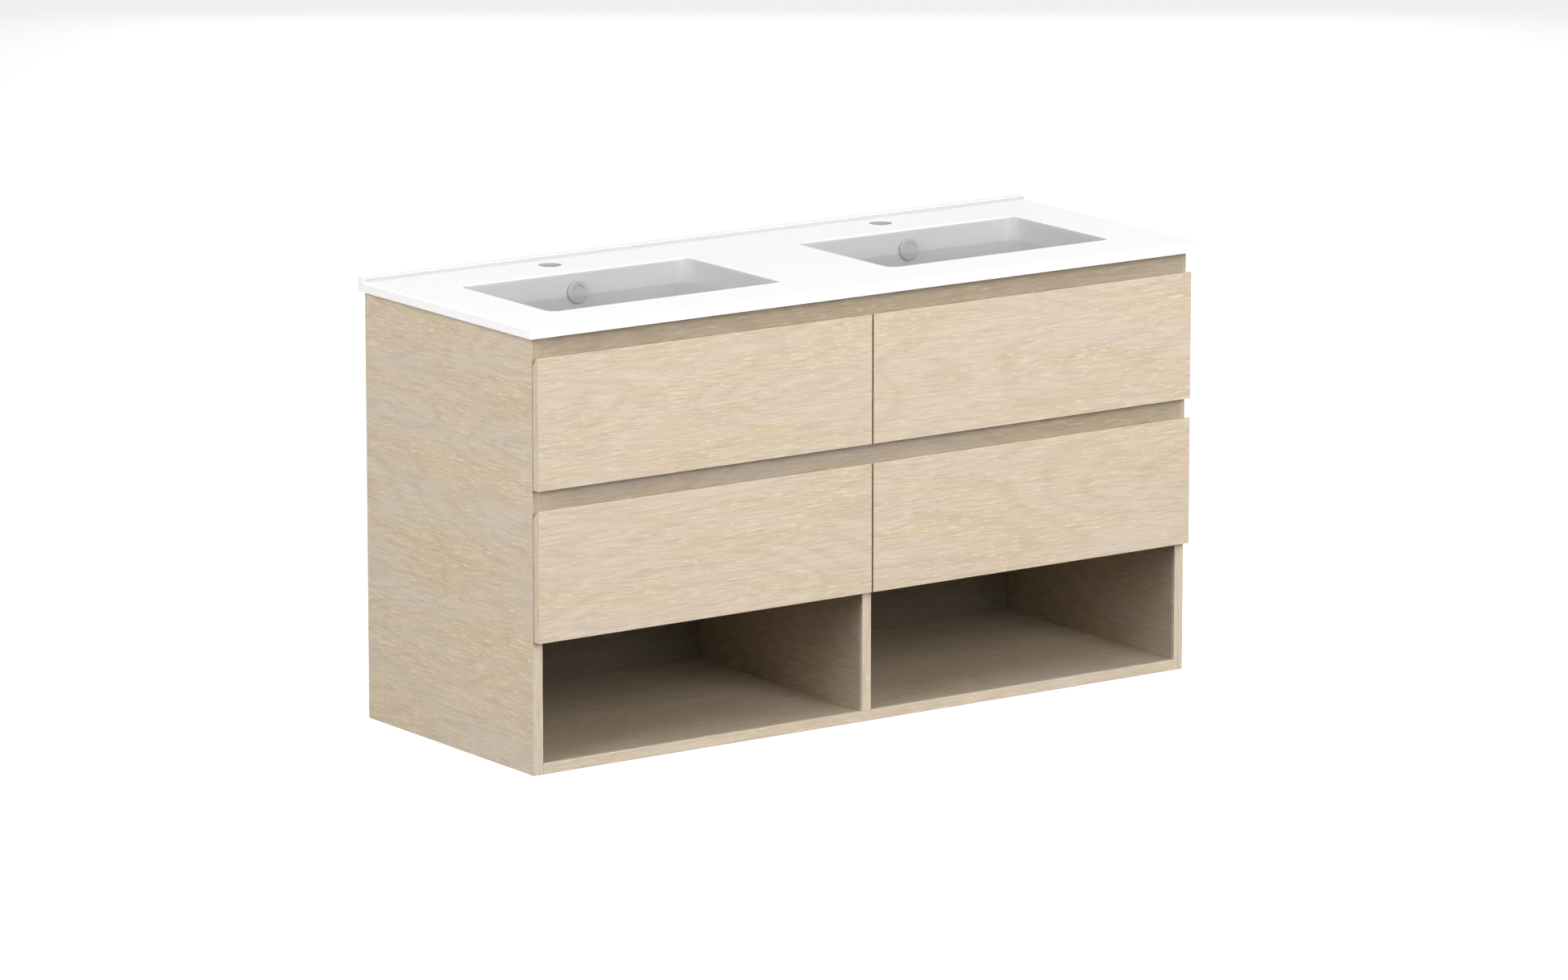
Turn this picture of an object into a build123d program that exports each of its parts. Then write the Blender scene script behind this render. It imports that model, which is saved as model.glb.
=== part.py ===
from build123d import *
import os
from math import atan2, cos, sin

os.makedirs("parts", exist_ok=True)

# Double-bowl bathroom vanity, millimetres, +Z up.
# The origin is at the middle of the footprint, on the underside. +Y is the wall side, the drawers open towards -Y,
# and "left" is -X as seen by someone standing in front of it.

# Ceramic top
top_width = 1200.0
top_depth = 458.0
top_thickness = 15.0
top_edge_radius = 3.0
upstand_depth = 18.0
upstand_height = 6.0
upstand_radius = 1.5

# Carcass
carcass_width = 1174.0
carcass_depth = 440.0
carcass_height = 642.0
board = 16.0
edge_radius = 0.6
rail_height = 60.0
shelf_underside = 200.0
rear_rail_height = 100.0

# Drawer fronts
front_width = 584.5
front_height = 193.0
front_thickness = 14.0
front_gap = 0.8
front_outer_inset = 1.0
lower_front_bottom = 197.0
upper_front_bottom = 419.0
grip_bevel_depth = 10.5
grip_bevel_height = 12.0

# Drawer boxes
box_board = 15.0
box_length = 350.0
runner_space = 13.0
base_thickness = 8.0
base_raise = 10.0
upper_box = (440.0, 515.0)
lower_box = (226.0, 360.0)

# Runners: a cabinet, a middle and a drawer channel nested in the space beside the drawer box
runner_length = 350.0
runner_setback = 3.0
runner_sheet = 1.2
cabinet_channel = {"height": 45.0, "start": 0.0, "end": 10.0, "web_at_start": True}
middle_channel = {"height": 34.4, "start": 3.2, "end": 11.0, "web_at_start": True}
drawer_channel = {"height": 24.4, "start": 5.6, "end": 13.0, "web_at_start": False}
channel_bend = 0.9

# Bowls
bowl_x = 300.0
bowl_centre_from_wall = 243.2
bowl_width = 405.0
bowl_length = 241.0
bowl_depth = 105.0
bowl_draft = 16.0
bowl_rim_corner = 16.0
bowl_floor_corner = 36.0
bowl_floor_radius = 24.0
bowl_rim_edge = 2.0
bowl_wall = 9.0
bowl_floor = 8.0

# Tap holes, overflow and waste
tap_hole_radius = 17.5
tap_from_wall = 56.0
overflow_drop = 30.0
overflow_hole_radius = 11.0
overflow_cover_radius = 17.0
duct_width = 24.0
duct_height = 8.0
duct_from_wall = 96.0
duct_casing = 8.0
waste_hole_radius = 23.0
waste_boss_radius = 38.0
waste_boss_depth = 22.0
waste_radius = 20.95
waste_bore = 17.5
waste_flange_radius = 33.0
waste_flange = 3.0
waste_tail_drop = 82.0
waste_gasket = 5.0
waste_gasket_radius = 34.0
waste_nut = 10.0
waste_nut_radius = 33.0
thread_clearance = 0.05
relief_groove = 2.0
relief_radius = 19.8
plug_radius = 30.0
plug_stem_radius = 4.0
guide_bore_radius = 4.06

# Fasteners
cam_radius = 7.5
cam_depth = 12.5
cam_from_edge = 24.0
cam_from_corner = 60.0
cam_clearance = 0.1
bolt_radius = 3.5
bolt_hole_radius = 4.0
bolt_thread_radius = 2.5
bolt_thread_depth = 11.0
wall_screw_radius = 3.5
wall_screw_spacing = 900.0

# Cut-out in the upper drawers, round the waste and its trap
cutout_half_width = 55.0
cutout_front_from_wall = 293.0
cutout_corner = 40.0
liner_wall = 3.0

# Worked out from the sizes above
wall_y = top_depth / 2
deck_z = carcass_height + top_thickness
inner_x = carcass_width / 2 - board
half_board = board / 2
front_y = wall_y - carcass_depth
front_back_y = front_y - front_gap
box_rear_y = front_back_y + box_length
shelf_top = shelf_underside + board
floor_z = deck_z - bowl_depth
boss_z = floor_z - waste_boss_depth
bowl_y = wall_y - bowl_centre_from_wall
middle_rail_z = (lower_front_bottom + front_height + upper_front_bottom) / 2 - rail_height / 2
top_rail_z = carcass_height - rail_height
draft_angle = atan2(bowl_draft, bowl_depth)


def save(part, label):
    part.label = label
    export_step(part, f"parts/{label}.step")


def box_between(x, y, z):
    """A board given by its low and high X, Y and Z."""
    with BuildPart() as piece:
        with BuildSketch(Plane.XY.offset(z[0])):
            with Locations(((x[0] + x[1]) / 2, (y[0] + y[1]) / 2)):
                Rectangle(x[1] - x[0], y[1] - y[0])
        extrude(amount=z[1] - z[0])
    return piece.part


def soften(part, axis, side):
    """The board's outer long edges, on the side that shows, get the small radius of their edge banding."""
    with BuildPart() as piece:
        add(part)
        face = piece.faces().sort_by(axis)[side]
        fillet(face.edges(), edge_radius)
    return piece.part


def mirrored(value, side):
    """A low and high X on the right-hand side, or their mirror image on the left."""
    low, high = value
    return (low, high) if side > 0 else (-high, -low)


# ---- Fastener places: each is the cam's centre on its board's face, the way the cam goes in, and the board's middle


def cam_places():
    cam_x = inner_x - cam_from_edge
    rear_rail_middles = (carcass_height - rear_rail_height / 2, shelf_top + rear_rail_height / 2)
    rail_middles = (top_rail_z + rail_height / 2, middle_rail_z + rail_height / 2)
    for side in (-1, 1):
        for y in (front_y + cam_from_corner, wall_y - cam_from_corner):
            yield side, (side * cam_x, y, 0), (0, 0, 1)
            yield side, (side * cam_x, y, shelf_top), (0, 0, -1)
        for z in rail_middles:
            yield side, (side * cam_x, front_y + board, z), (0, -1, 0)
        for z in rear_rail_middles:
            yield side, (side * cam_x, wall_y - board, z), (0, 1, 0)


def bolt_centre(place, inward):
    """The bolt runs at the middle of the board's thickness."""
    return tuple(p + half_board * d for p, d in zip(place, inward))


def cam_bores():
    """Everything that is drilled for the cams and their bolts, as one cutting tool."""
    with BuildPart() as bores:
        for side, place, inward in cam_places():
            with BuildSketch(Plane(origin=place, x_dir=(1, 0, 0), z_dir=inward)):
                Circle(cam_radius)
            extrude(amount=cam_depth)
            x, y, z = bolt_centre(place, inward)
            with BuildSketch(Plane(origin=(x, y, z), x_dir=(0, 1, 0), z_dir=(side, 0, 0))):
                Circle(bolt_hole_radius)
            extrude(amount=cam_from_edge)
            with BuildSketch(Plane(origin=(side * inner_x, y, z), x_dir=(0, 1, 0), z_dir=(side, 0, 0))):
                Circle(bolt_thread_radius + cam_clearance)
            extrude(amount=bolt_thread_depth + 1)
    return bores.part


def drilled(part, cutter):
    with BuildPart() as piece:
        add(part)
        add(cutter, mode=Mode.SUBTRACT)
    return piece.part


# ---- Carcass


def make_carcass(cutter):
    outer_x = carcass_width / 2
    full_depth = (front_y, wall_y)
    between = (-inner_x, inner_x)
    for label, side in (("side_panel_left", -1), ("side_panel_right", 1)):
        panel = box_between(mirrored((inner_x, outer_x), side), full_depth, (0, carcass_height))
        save(drilled(soften(panel, Axis.Y, 0), cutter), label)
    bottom = soften(box_between(between, full_depth, (0, board)), Axis.Y, 0)
    save(drilled(bottom, cutter), "bottom_panel")
    shelf = box_between(between, full_depth, (shelf_underside, shelf_top))
    save(drilled(shelf, cutter), "drawer_shelf")
    divider = box_between((-half_board, half_board), full_depth, (board, shelf_underside))
    save(soften(divider, Axis.Y, 0), "lower_divider")
    for label, side in (("niche_back_left", -1), ("niche_back_right", 1)):
        x = mirrored((half_board, inner_x), side)
        save(box_between(x, (wall_y - board, wall_y), (board, shelf_underside)), label)
    for label, z in (("top_rail", top_rail_z), ("middle_rail", middle_rail_z)):
        rail = box_between(between, (front_y, front_y + board), (z, z + rail_height))
        save(drilled(rail, cutter), label)


def make_upper_divider():
    """It stands between the rear rails and the drawer fronts, notched for the two finger rails."""
    with BuildPart() as upper_divider:
        with BuildSketch(Plane.XZ.offset(-wall_y + board)):
            with Locations((0, (shelf_top + carcass_height) / 2)):
                Rectangle(board, carcass_height - shelf_top)
        extrude(amount=carcass_depth - board)
        for z in (top_rail_z, middle_rail_z):
            with BuildSketch(Plane.XZ.offset(-front_y - board)):
                with Locations((0, z + rail_height / 2)):
                    Rectangle(board, rail_height)
            extrude(amount=board, mode=Mode.SUBTRACT)
    save(upper_divider.part, "upper_divider")


def make_rear_rails(cutter):
    """Boards along the wall that take the wall screws. The back is open between them, for the pipes."""
    for label, z in (("upper_rear_rail", carcass_height - rear_rail_height), ("lower_rear_rail", shelf_top)):
        with BuildPart() as rail:
            with BuildSketch(Plane.XZ.offset(-wall_y)):
                with Locations((0, z + rear_rail_height / 2)):
                    Rectangle(2 * inner_x, rear_rail_height)
                    with GridLocations(wall_screw_spacing, 0, 2, 1):
                        Circle(wall_screw_radius, mode=Mode.SUBTRACT)
            extrude(amount=board)
            add(cutter, mode=Mode.SUBTRACT)
        save(rail.part, label)


def make_cam_locks():
    """Zinc discs, each with a slot in its flank for the bolt's head and a cross cut for the screwdriver."""
    recess = 0.2
    cross_length = 9.0
    cross_width = 1.6
    cross_depth = 2.2
    slot_start = 2.0
    with BuildPart() as cam_locks:
        for side, place, inward in cam_places():
            face = Plane(origin=place, x_dir=(1, 0, 0), z_dir=inward)
            with BuildSketch(face.offset(recess)):
                Circle(cam_radius - cam_clearance)
            extrude(amount=cam_depth - 2 * recess)
        for side, place, inward in cam_places():
            face = Plane(origin=place, x_dir=(1, 0, 0), z_dir=inward)
            with BuildSketch(face.offset(recess)):
                Rectangle(cross_length, cross_width)
                Rectangle(cross_width, cross_length)
            extrude(amount=cross_depth, mode=Mode.SUBTRACT)
            x, y, z = bolt_centre(place, inward)
            slot_x = x - side * slot_start
            with BuildSketch(Plane(origin=(slot_x, y, z), x_dir=(0, 1, 0), z_dir=(side, 0, 0))):
                Circle(bolt_hole_radius)
            extrude(amount=cam_from_edge, mode=Mode.SUBTRACT)
    save(cam_locks.part, "cam_locks")


def make_cam_bolts():
    with BuildPart() as cam_bolts:
        for side, place, inward in cam_places():
            x, y, z = bolt_centre(place, inward)
            with BuildSketch(Plane(origin=(x, y, z), x_dir=(0, 1, 0), z_dir=(side, 0, 0))):
                Circle(bolt_radius)
            extrude(amount=cam_from_edge)
            with BuildSketch(Plane(origin=(side * inner_x, y, z), x_dir=(0, 1, 0), z_dir=(side, 0, 0))):
                Circle(bolt_thread_radius)
            extrude(amount=bolt_thread_depth)
    save(cam_bolts.part, "cam_bolts")


# ---- Ceramic top


def bowl_solid(x, grow, rim_z, low_z):
    """A bowl's drafted form, from the deck down. grow is how far it stands outside the bowl's inner face."""
    with BuildPart() as bowl:
        for z, inset, corner in ((rim_z, 0, bowl_rim_corner), (low_z, bowl_draft, bowl_floor_corner)):
            with BuildSketch(Plane.XY.offset(z)):
                with Locations((x, bowl_y)):
                    RectangleRounded(
                        bowl_width + 2 * (grow - inset), bowl_length + 2 * (grow - inset), corner + grow
                    )
        loft(ruled=True)
        fillet(bowl.faces().sort_by(Axis.Z)[0].edges(), bowl_floor_radius + grow / 2)
    return bowl.part


def wall_point_y(z):
    """Y of the bowl's back wall at a height."""
    return wall_y - (bowl_centre_from_wall - bowl_length / 2) - (deck_z - z) * bowl_draft / bowl_depth


def overflow_plane(x):
    """On the bowl's back wall at the overflow's centre, looking into the bowl."""
    z = deck_z - overflow_drop
    facing = (0, -cos(draft_angle), sin(draft_angle))
    return Plane(origin=(x, wall_point_y(z), z), x_dir=(1, 0, 0), z_dir=facing)


def make_basin_top():
    casing = duct_width + 2 * duct_casing
    casing_y = wall_y - duct_from_wall + duct_casing
    casing_reach = 50.0
    shell_start = 5.0
    duct_low = floor_z - bowl_floor - duct_height
    duct_above_overflow = 13.0
    hole_start = 5.0
    hole_end = 28.0
    with BuildPart() as basin_top:
        with BuildSketch(Plane.XY.offset(carcass_height)):
            Rectangle(top_width, top_depth)
        extrude(amount=top_thickness)
        with BuildSketch(Plane.XY.offset(deck_z)):
            with Locations((0, wall_y - upstand_depth / 2)):
                Rectangle(top_width, upstand_depth)
        extrude(amount=upstand_height)
        upright = basin_top.edges().filter_by(Axis.Z)
        fillet(upright, top_edge_radius)
        top_faces = basin_top.faces().filter_by(Axis.Z).sort_by(Axis.Z)
        fillet(top_faces[-1].edges(), upstand_radius)
        deck_edges = basin_top.edges().filter_by(
            lambda e: abs(e.center().Z - deck_z) < 0.01 and e.center().Y < wall_y - upstand_depth - 0.1
        )
        fillet(deck_edges, top_edge_radius)
        for x in (-bowl_x, bowl_x):
            add(bowl_solid(x, bowl_wall, deck_z - shell_start, floor_z - bowl_floor))
            with BuildSketch(Plane.XY.offset(boss_z)):
                with Locations((x, bowl_y)):
                    Circle(waste_boss_radius)
                with Locations((x, (bowl_y + casing_y) / 2)):
                    Rectangle(casing, casing_y - bowl_y)
            extrude(amount=waste_boss_depth)
            with BuildSketch(Plane.XY.offset(boss_z)):
                with Locations((x, casing_y - casing_reach / 2)):
                    Rectangle(casing, casing_reach)
            extrude(amount=carcass_height - boss_z)
        for x in (-bowl_x, bowl_x):
            add(bowl_solid(x, 0, deck_z, floor_z), mode=Mode.SUBTRACT)
            with Locations((x, wall_y - tap_from_wall, deck_z)):
                Hole(tap_hole_radius, depth=2 * top_thickness)
            with BuildSketch(Plane.XY.offset(boss_z)):
                with Locations((x, bowl_y)):
                    Circle(waste_hole_radius)
            extrude(amount=waste_boss_depth + 1, mode=Mode.SUBTRACT)
            with BuildSketch(Plane.XY.offset(duct_low)):
                with Locations((x, (bowl_y + wall_y - duct_from_wall) / 2)):
                    Rectangle(duct_width, wall_y - duct_from_wall - bowl_y)
            extrude(amount=duct_height, mode=Mode.SUBTRACT)
            with BuildSketch(Plane.XY.offset(duct_low)):
                with Locations((x, wall_y - duct_from_wall - duct_height / 2)):
                    Rectangle(duct_width, duct_height)
            extrude(amount=deck_z - overflow_drop + duct_above_overflow - duct_low, mode=Mode.SUBTRACT)
            with BuildSketch(overflow_plane(x).offset(hole_start)):
                Circle(overflow_hole_radius)
            extrude(amount=-hole_start - hole_end, mode=Mode.SUBTRACT)
        rim = basin_top.edges().filter_by(
            lambda e: abs(e.center().Z - deck_z) < 0.01 and abs(e.center().Y - bowl_y) < bowl_length / 2 + 1
            and abs(abs(e.center().X) - bowl_x) < bowl_width / 2 + 1
        )
        fillet(rim, bowl_rim_edge)
    save(basin_top.part, "basin_top")


def make_overflow_covers():
    """A dished cap that stands a little off the wall on a slotted stem, which plugs into the overflow hole."""
    stand_off = 1.5
    cap = 4.5
    cap_edge = 2.4
    dish_radius = 11.0
    dish_depth = 1.8
    dish_taper = 35.0
    stem_clearance = 0.08
    stem_bore = 8.5
    stem_length = 14.0
    stem_slot = 8.0
    for label, x in (("overflow_cover_left", -bowl_x), ("overflow_cover_right", bowl_x)):
        wall = overflow_plane(x)
        with BuildPart() as cover:
            with BuildSketch(wall.offset(stand_off)):
                Circle(overflow_cover_radius)
            extrude(amount=cap)
            rim_face = cover.faces().filter_by(lambda f: f.normal_at().dot(wall.z_dir) > 0.99).sort_by(Axis.Y)[0]
            fillet(rim_face.edges(), cap_edge)
            with BuildSketch(wall.offset(stand_off + cap)):
                Circle(dish_radius)
            extrude(amount=-dish_depth, taper=dish_taper, mode=Mode.SUBTRACT)
            with BuildSketch(wall.offset(stand_off)):
                Circle(overflow_hole_radius - stem_clearance)
                Circle(stem_bore, mode=Mode.SUBTRACT)
                Rectangle(2 * overflow_cover_radius, stem_slot, mode=Mode.SUBTRACT)
            extrude(amount=-stem_length)
        save(cover.part, label)


# ---- Wastes


def make_waste_bodies():
    """Flange, slotted threaded barrel and a bridge with the bore that guides the plug's stem."""
    flange_edge = 1.2
    groove_below_nut = 2.0
    slot_width = 12.0
    bridge_drop = 40.0
    bridge_height = 14.0
    bridge_width = 5.0
    guide_radius = 8.0
    tail_z = floor_z - waste_tail_drop
    groove_z = boss_z - waste_gasket - waste_nut - groove_below_nut
    for label, x in (("waste_body_left", -bowl_x), ("waste_body_right", bowl_x)):
        with BuildPart() as waste:
            with BuildSketch(Plane.XY.offset(floor_z)):
                with Locations((x, bowl_y)):
                    Circle(waste_flange_radius)
            extrude(amount=waste_flange)
            fillet(waste.faces().sort_by(Axis.Z)[-1].edges(), flange_edge)
            with BuildSketch(Plane.XY.offset(tail_z)):
                with Locations((x, bowl_y)):
                    Circle(waste_radius)
            extrude(amount=waste_tail_drop)
            with BuildSketch(Plane.XY.offset(groove_z)):
                with Locations((x, bowl_y)):
                    Circle(waste_radius + 1)
                    Circle(relief_radius, mode=Mode.SUBTRACT)
            extrude(amount=-relief_groove, mode=Mode.SUBTRACT)
            with BuildSketch(Plane.XY.offset(tail_z)):
                with Locations((x, bowl_y)):
                    Circle(waste_bore)
            extrude(amount=waste_tail_drop + waste_flange, mode=Mode.SUBTRACT)
            with BuildSketch(Plane.XY.offset(floor_z - bowl_floor - duct_height)):
                with Locations((x, bowl_y)):
                    Rectangle(slot_width, 3 * waste_radius)
            extrude(amount=duct_height, mode=Mode.SUBTRACT)
            with BuildSketch(Plane.XY.offset(floor_z - bridge_drop)):
                with Locations((x, bowl_y)):
                    Rectangle(2 * waste_bore + 1, bridge_width)
                    Circle(guide_radius)
                    Circle(guide_bore_radius, mode=Mode.SUBTRACT)
            extrude(amount=bridge_height)
        save(waste.part, label)


def make_waste_plugs():
    """A shallow dome on a stem. It is pressed down to close and rises to open."""
    rest_gap = 0.4
    rim = 3.0
    edge = 0.8
    crown = 2.5
    stem_drop = 46.0
    dome_radius = (plug_radius**2 + crown**2) / (2 * crown)
    low_z = floor_z + waste_flange + rest_gap
    for label, x in (("waste_plug_left", -bowl_x), ("waste_plug_right", bowl_x)):
        with BuildPart() as plug:
            with BuildSketch(Plane(origin=(x, bowl_y, low_z), x_dir=(1, 0, 0), z_dir=(0, -1, 0))):
                with BuildLine():
                    Polyline(
                        (0, rim + crown),
                        (0, -stem_drop),
                        (plug_stem_radius, -stem_drop),
                        (plug_stem_radius, 0),
                        (plug_radius - edge, 0),
                        (plug_radius, edge),
                        (plug_radius, rim),
                    )
                    RadiusArc((plug_radius, rim), (0, rim + crown), -dome_radius)
                make_face()
            revolve(axis=Axis((x, bowl_y, 0), (0, 0, 1)))
        save(plug.part, label)


def make_waste_fixings():
    gasket_clearance = 0.3
    with BuildPart() as waste_gaskets:
        with BuildSketch(Plane.XY.offset(boss_z - waste_gasket)):
            with GridLocations(2 * bowl_x, 0, 2, 1):
                with Locations((0, bowl_y)):
                    Circle(waste_gasket_radius)
                    Circle(waste_radius + gasket_clearance, mode=Mode.SUBTRACT)
        extrude(amount=waste_gasket)
    save(waste_gaskets.part, "waste_gaskets")
    with BuildPart() as waste_nuts:
        for x in (-bowl_x, bowl_x):
            with BuildSketch(Plane.XY.offset(boss_z - waste_gasket - waste_nut)):
                with Locations((x, bowl_y)):
                    RegularPolygon(waste_nut_radius, 6)
                    Circle(waste_radius + thread_clearance, mode=Mode.SUBTRACT)
            extrude(amount=waste_nut)
    save(waste_nuts.part, "waste_nuts")


# ---- Drawers


def make_front(label, side, bottom):
    """A plain front whose top rear edge is bevelled, so that fingers reach behind it."""
    outer = carcass_width / 2 - front_outer_inset
    x = mirrored((outer - front_width, outer), side)
    face_y = front_back_y - front_thickness
    top = bottom + front_height
    with BuildPart() as front:
        with BuildSketch(Plane.YZ.offset(x[0])):
            with BuildLine():
                Polyline(
                    (face_y, bottom),
                    (front_back_y, bottom),
                    (front_back_y, top - grip_bevel_height),
                    (front_back_y - grip_bevel_depth, top),
                    (face_y, top),
                    close=True,
                )
            make_face()
        extrude(amount=front_width)
        fillet(front.faces().sort_by(Axis.Y)[0].edges(), edge_radius)
    save(front.part, label)


def channel(spec, wall_x, inward, height_z):
    """One runner member: a folded steel channel along Y. inward is +1 where the drawer is on the +X side."""
    half = spec["height"] / 2
    web = spec["start"] if spec["web_at_start"] else spec["end"]
    tip = spec["end"] if spec["web_at_start"] else spec["start"]
    fold = runner_sheet if spec["web_at_start"] else -runner_sheet
    front_end = front_y + runner_setback
    with BuildPart() as member:
        with BuildSketch(Plane(origin=(wall_x, front_end, height_z), x_dir=(inward, 0, 0), z_dir=(0, 1, 0))):
            with BuildLine():
                Polyline(
                    (web, -half),
                    (tip, -half),
                    (tip, -half + runner_sheet),
                    (web + fold, -half + runner_sheet),
                    (web + fold, half - runner_sheet),
                    (tip, half - runner_sheet),
                    (tip, half),
                    (web, half),
                    close=True,
                )
            make_face()
        extrude(amount=runner_length)
        outer_corners = member.edges().filter_by(Axis.Y).filter_by(
            lambda e: abs(abs(e.center().X - wall_x) - web) < 0.01
        )
        fillet(outer_corners, channel_bend)
    return member.part


def make_runners(name, side, height_z):
    """Left and right runner of one drawer, one node for each of the three members."""
    members = (
        (f"{name}_cabinet_runner", cabinet_channel),
        (f"{name}_middle_runner", middle_channel),
        (f"{name}_drawer_runner", drawer_channel),
    )
    low, high = mirrored((half_board, inner_x), side)
    for label, spec in members:
        with BuildPart() as pair:
            add(channel(spec, low, 1, height_z))
            add(channel(spec, high, -1, height_z))
        save(pair.part, label)


def cutout_outline(grow):
    """The U round the waste, open towards the wall, drawn at X = 0."""
    half = cutout_half_width + grow
    closed_y = wall_y - cutout_front_from_wall - grow
    length = box_rear_y - closed_y
    with BuildSketch() as outline:
        with Locations((0, closed_y + length / 2)):
            Rectangle(2 * half, length)
        fillet(outline.vertices().group_by(Axis.Y)[0], cutout_corner + grow)
    return outline.sketch


def make_box(name, side, heights, has_cutout):
    """Sides, base and back of one drawer. The upper ones leave a U round the waste."""
    low, high = mirrored((half_board + runner_space, inner_x - runner_space), side)
    bottom, top = heights
    y = (front_back_y, box_rear_y)
    save(box_between((low, low + box_board), y, heights), f"{name}_side_left")
    save(box_between((high - box_board, high), y, heights), f"{name}_side_right")
    inner = (low + box_board, high - box_board)
    base_y = (front_back_y, box_rear_y - box_board)
    base_z = (bottom + base_raise, bottom + base_raise + base_thickness)
    back_y = (box_rear_y - box_board, box_rear_y)
    if not has_cutout:
        save(box_between(inner, base_y, base_z), f"{name}_base")
        save(box_between(inner, back_y, heights), f"{name}_back")
        return
    centre = side * bowl_x
    reach = cutout_half_width + liner_wall
    with BuildPart() as base:
        add(box_between(inner, base_y, base_z))
        with BuildSketch(Plane((centre, 0, base_z[0]))):
            add(cutout_outline(liner_wall))
        extrude(amount=base_thickness, mode=Mode.SUBTRACT)
    save(base.part, f"{name}_base")
    with BuildPart() as liner:
        with BuildSketch(Plane((centre, 0, bottom))):
            add(cutout_outline(liner_wall))
            add(cutout_outline(0), mode=Mode.SUBTRACT)
        extrude(amount=top - bottom)
    save(liner.part, f"{name}_trap_liner")
    save(box_between((inner[0], centre - reach), back_y, heights), f"{name}_back_left")
    save(box_between((centre + reach, inner[1]), back_y, heights), f"{name}_back_right")


def make_drawers():
    for row, front_bottom, heights in (
        ("upper", upper_front_bottom, upper_box),
        ("lower", lower_front_bottom, lower_box),
    ):
        for column, side in (("left", -1), ("right", 1)):
            name = f"{row}_{column}"
            make_front(f"{name}_front", side, front_bottom)
            make_box(name, side, heights, row == "upper")
            make_runners(name, side, (heights[0] + heights[1]) / 2)


fastener_bores = cam_bores()
make_carcass(fastener_bores)
make_upper_divider()
make_rear_rails(fastener_bores)
make_cam_locks()
make_cam_bolts()
make_basin_top()
make_overflow_covers()
make_waste_bodies()
make_waste_plugs()
make_waste_fixings()
make_drawers()
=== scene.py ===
from math import cos, pi, radians, sin

import bmesh
import bpy
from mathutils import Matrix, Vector


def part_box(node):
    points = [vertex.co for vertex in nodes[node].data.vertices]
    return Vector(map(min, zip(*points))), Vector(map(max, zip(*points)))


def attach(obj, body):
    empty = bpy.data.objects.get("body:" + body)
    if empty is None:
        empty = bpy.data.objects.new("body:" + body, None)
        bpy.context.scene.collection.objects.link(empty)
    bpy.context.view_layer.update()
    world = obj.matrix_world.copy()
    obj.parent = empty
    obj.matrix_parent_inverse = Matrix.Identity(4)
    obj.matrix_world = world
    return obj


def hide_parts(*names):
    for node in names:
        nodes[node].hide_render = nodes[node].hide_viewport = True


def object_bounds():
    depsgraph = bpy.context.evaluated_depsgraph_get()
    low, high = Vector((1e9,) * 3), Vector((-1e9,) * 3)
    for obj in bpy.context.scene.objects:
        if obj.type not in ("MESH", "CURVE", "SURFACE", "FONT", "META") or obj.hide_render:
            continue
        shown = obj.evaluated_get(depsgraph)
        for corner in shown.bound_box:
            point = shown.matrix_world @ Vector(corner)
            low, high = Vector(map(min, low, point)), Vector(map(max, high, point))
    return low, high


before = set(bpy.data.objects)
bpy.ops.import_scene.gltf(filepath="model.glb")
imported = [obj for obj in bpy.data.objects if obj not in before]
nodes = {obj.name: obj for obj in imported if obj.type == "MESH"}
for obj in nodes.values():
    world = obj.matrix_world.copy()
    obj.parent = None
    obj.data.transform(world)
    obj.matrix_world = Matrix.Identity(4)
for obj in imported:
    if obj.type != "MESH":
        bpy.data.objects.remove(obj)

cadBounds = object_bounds()


def linear(hexColour):
    # sRGB hex to the linear colour that the shaders want
    channels = [int(hexColour[i:i + 2], 16) / 255 for i in (1, 3, 5)]
    return [c / 12.92 if c <= 0.04045 else ((c + 0.055) / 1.055) ** 2.4 for c in channels] + [1.0]


def addNode(tree, kind, settings=None, inputs=None):
    # one node with its settings; an input is a plain value or the socket that feeds it.
    # Mix has many sockets of one name, so its inputs go by number: 0 factor, 2 and 3 numbers,
    # 4 and 5 vectors, 6 and 7 colours. Its outputs are 0 number, 1 vector, 2 colour.
    node = tree.nodes.new(kind)
    for name, value in (settings or {}).items():
        setattr(node, name, value)
    for key, value in (inputs or {}).items():
        if isinstance(value, bpy.types.NodeSocket):
            tree.links.new(value, node.inputs[key])
        else:
            node.inputs[key].default_value = value
    return node


def startMaterial(name, shaderValues):
    # hands back the material, its tree, its shader and the coordinates that patterns stand on
    material = bpy.data.materials.new(name)
    material.use_nodes = True
    shader = material.node_tree.nodes["Principled BSDF"]
    for key, value in shaderValues.items():
        shader.inputs[key].default_value = value
    place = addNode(material.node_tree, "ShaderNodeTexCoord")
    return material, material.node_tree, shader, place


noiseMiddle = (0.3, 0.7)    # nearly all of a noise lies between these two


def finishShader(tree, shader, colour, rough, height, strength, relief):
    # every surface here has a colour pattern, a roughness spread over a noise, and a relief
    noise, lowEnd, highEnd = rough
    spread = addNode(tree, "ShaderNodeMapRange", inputs={
        0: noise, 1: noiseMiddle[0], 2: noiseMiddle[1], 3: lowEnd, 4: highEnd})
    bump = addNode(tree, "ShaderNodeBump", inputs={
        "Height": height, "Strength": strength, "Distance": relief})
    tree.links.new(colour, shader.inputs["Base Color"])
    tree.links.new(spread.outputs[0], shader.inputs["Roughness"])
    tree.links.new(bump.outputs[0], shader.inputs["Normal"])


def dress(name, material):
    # a CAD node keeps its mesh and takes a new material
    piece = nodes[name]
    piece.data.materials.clear()
    piece.data.materials.append(material)


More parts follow.
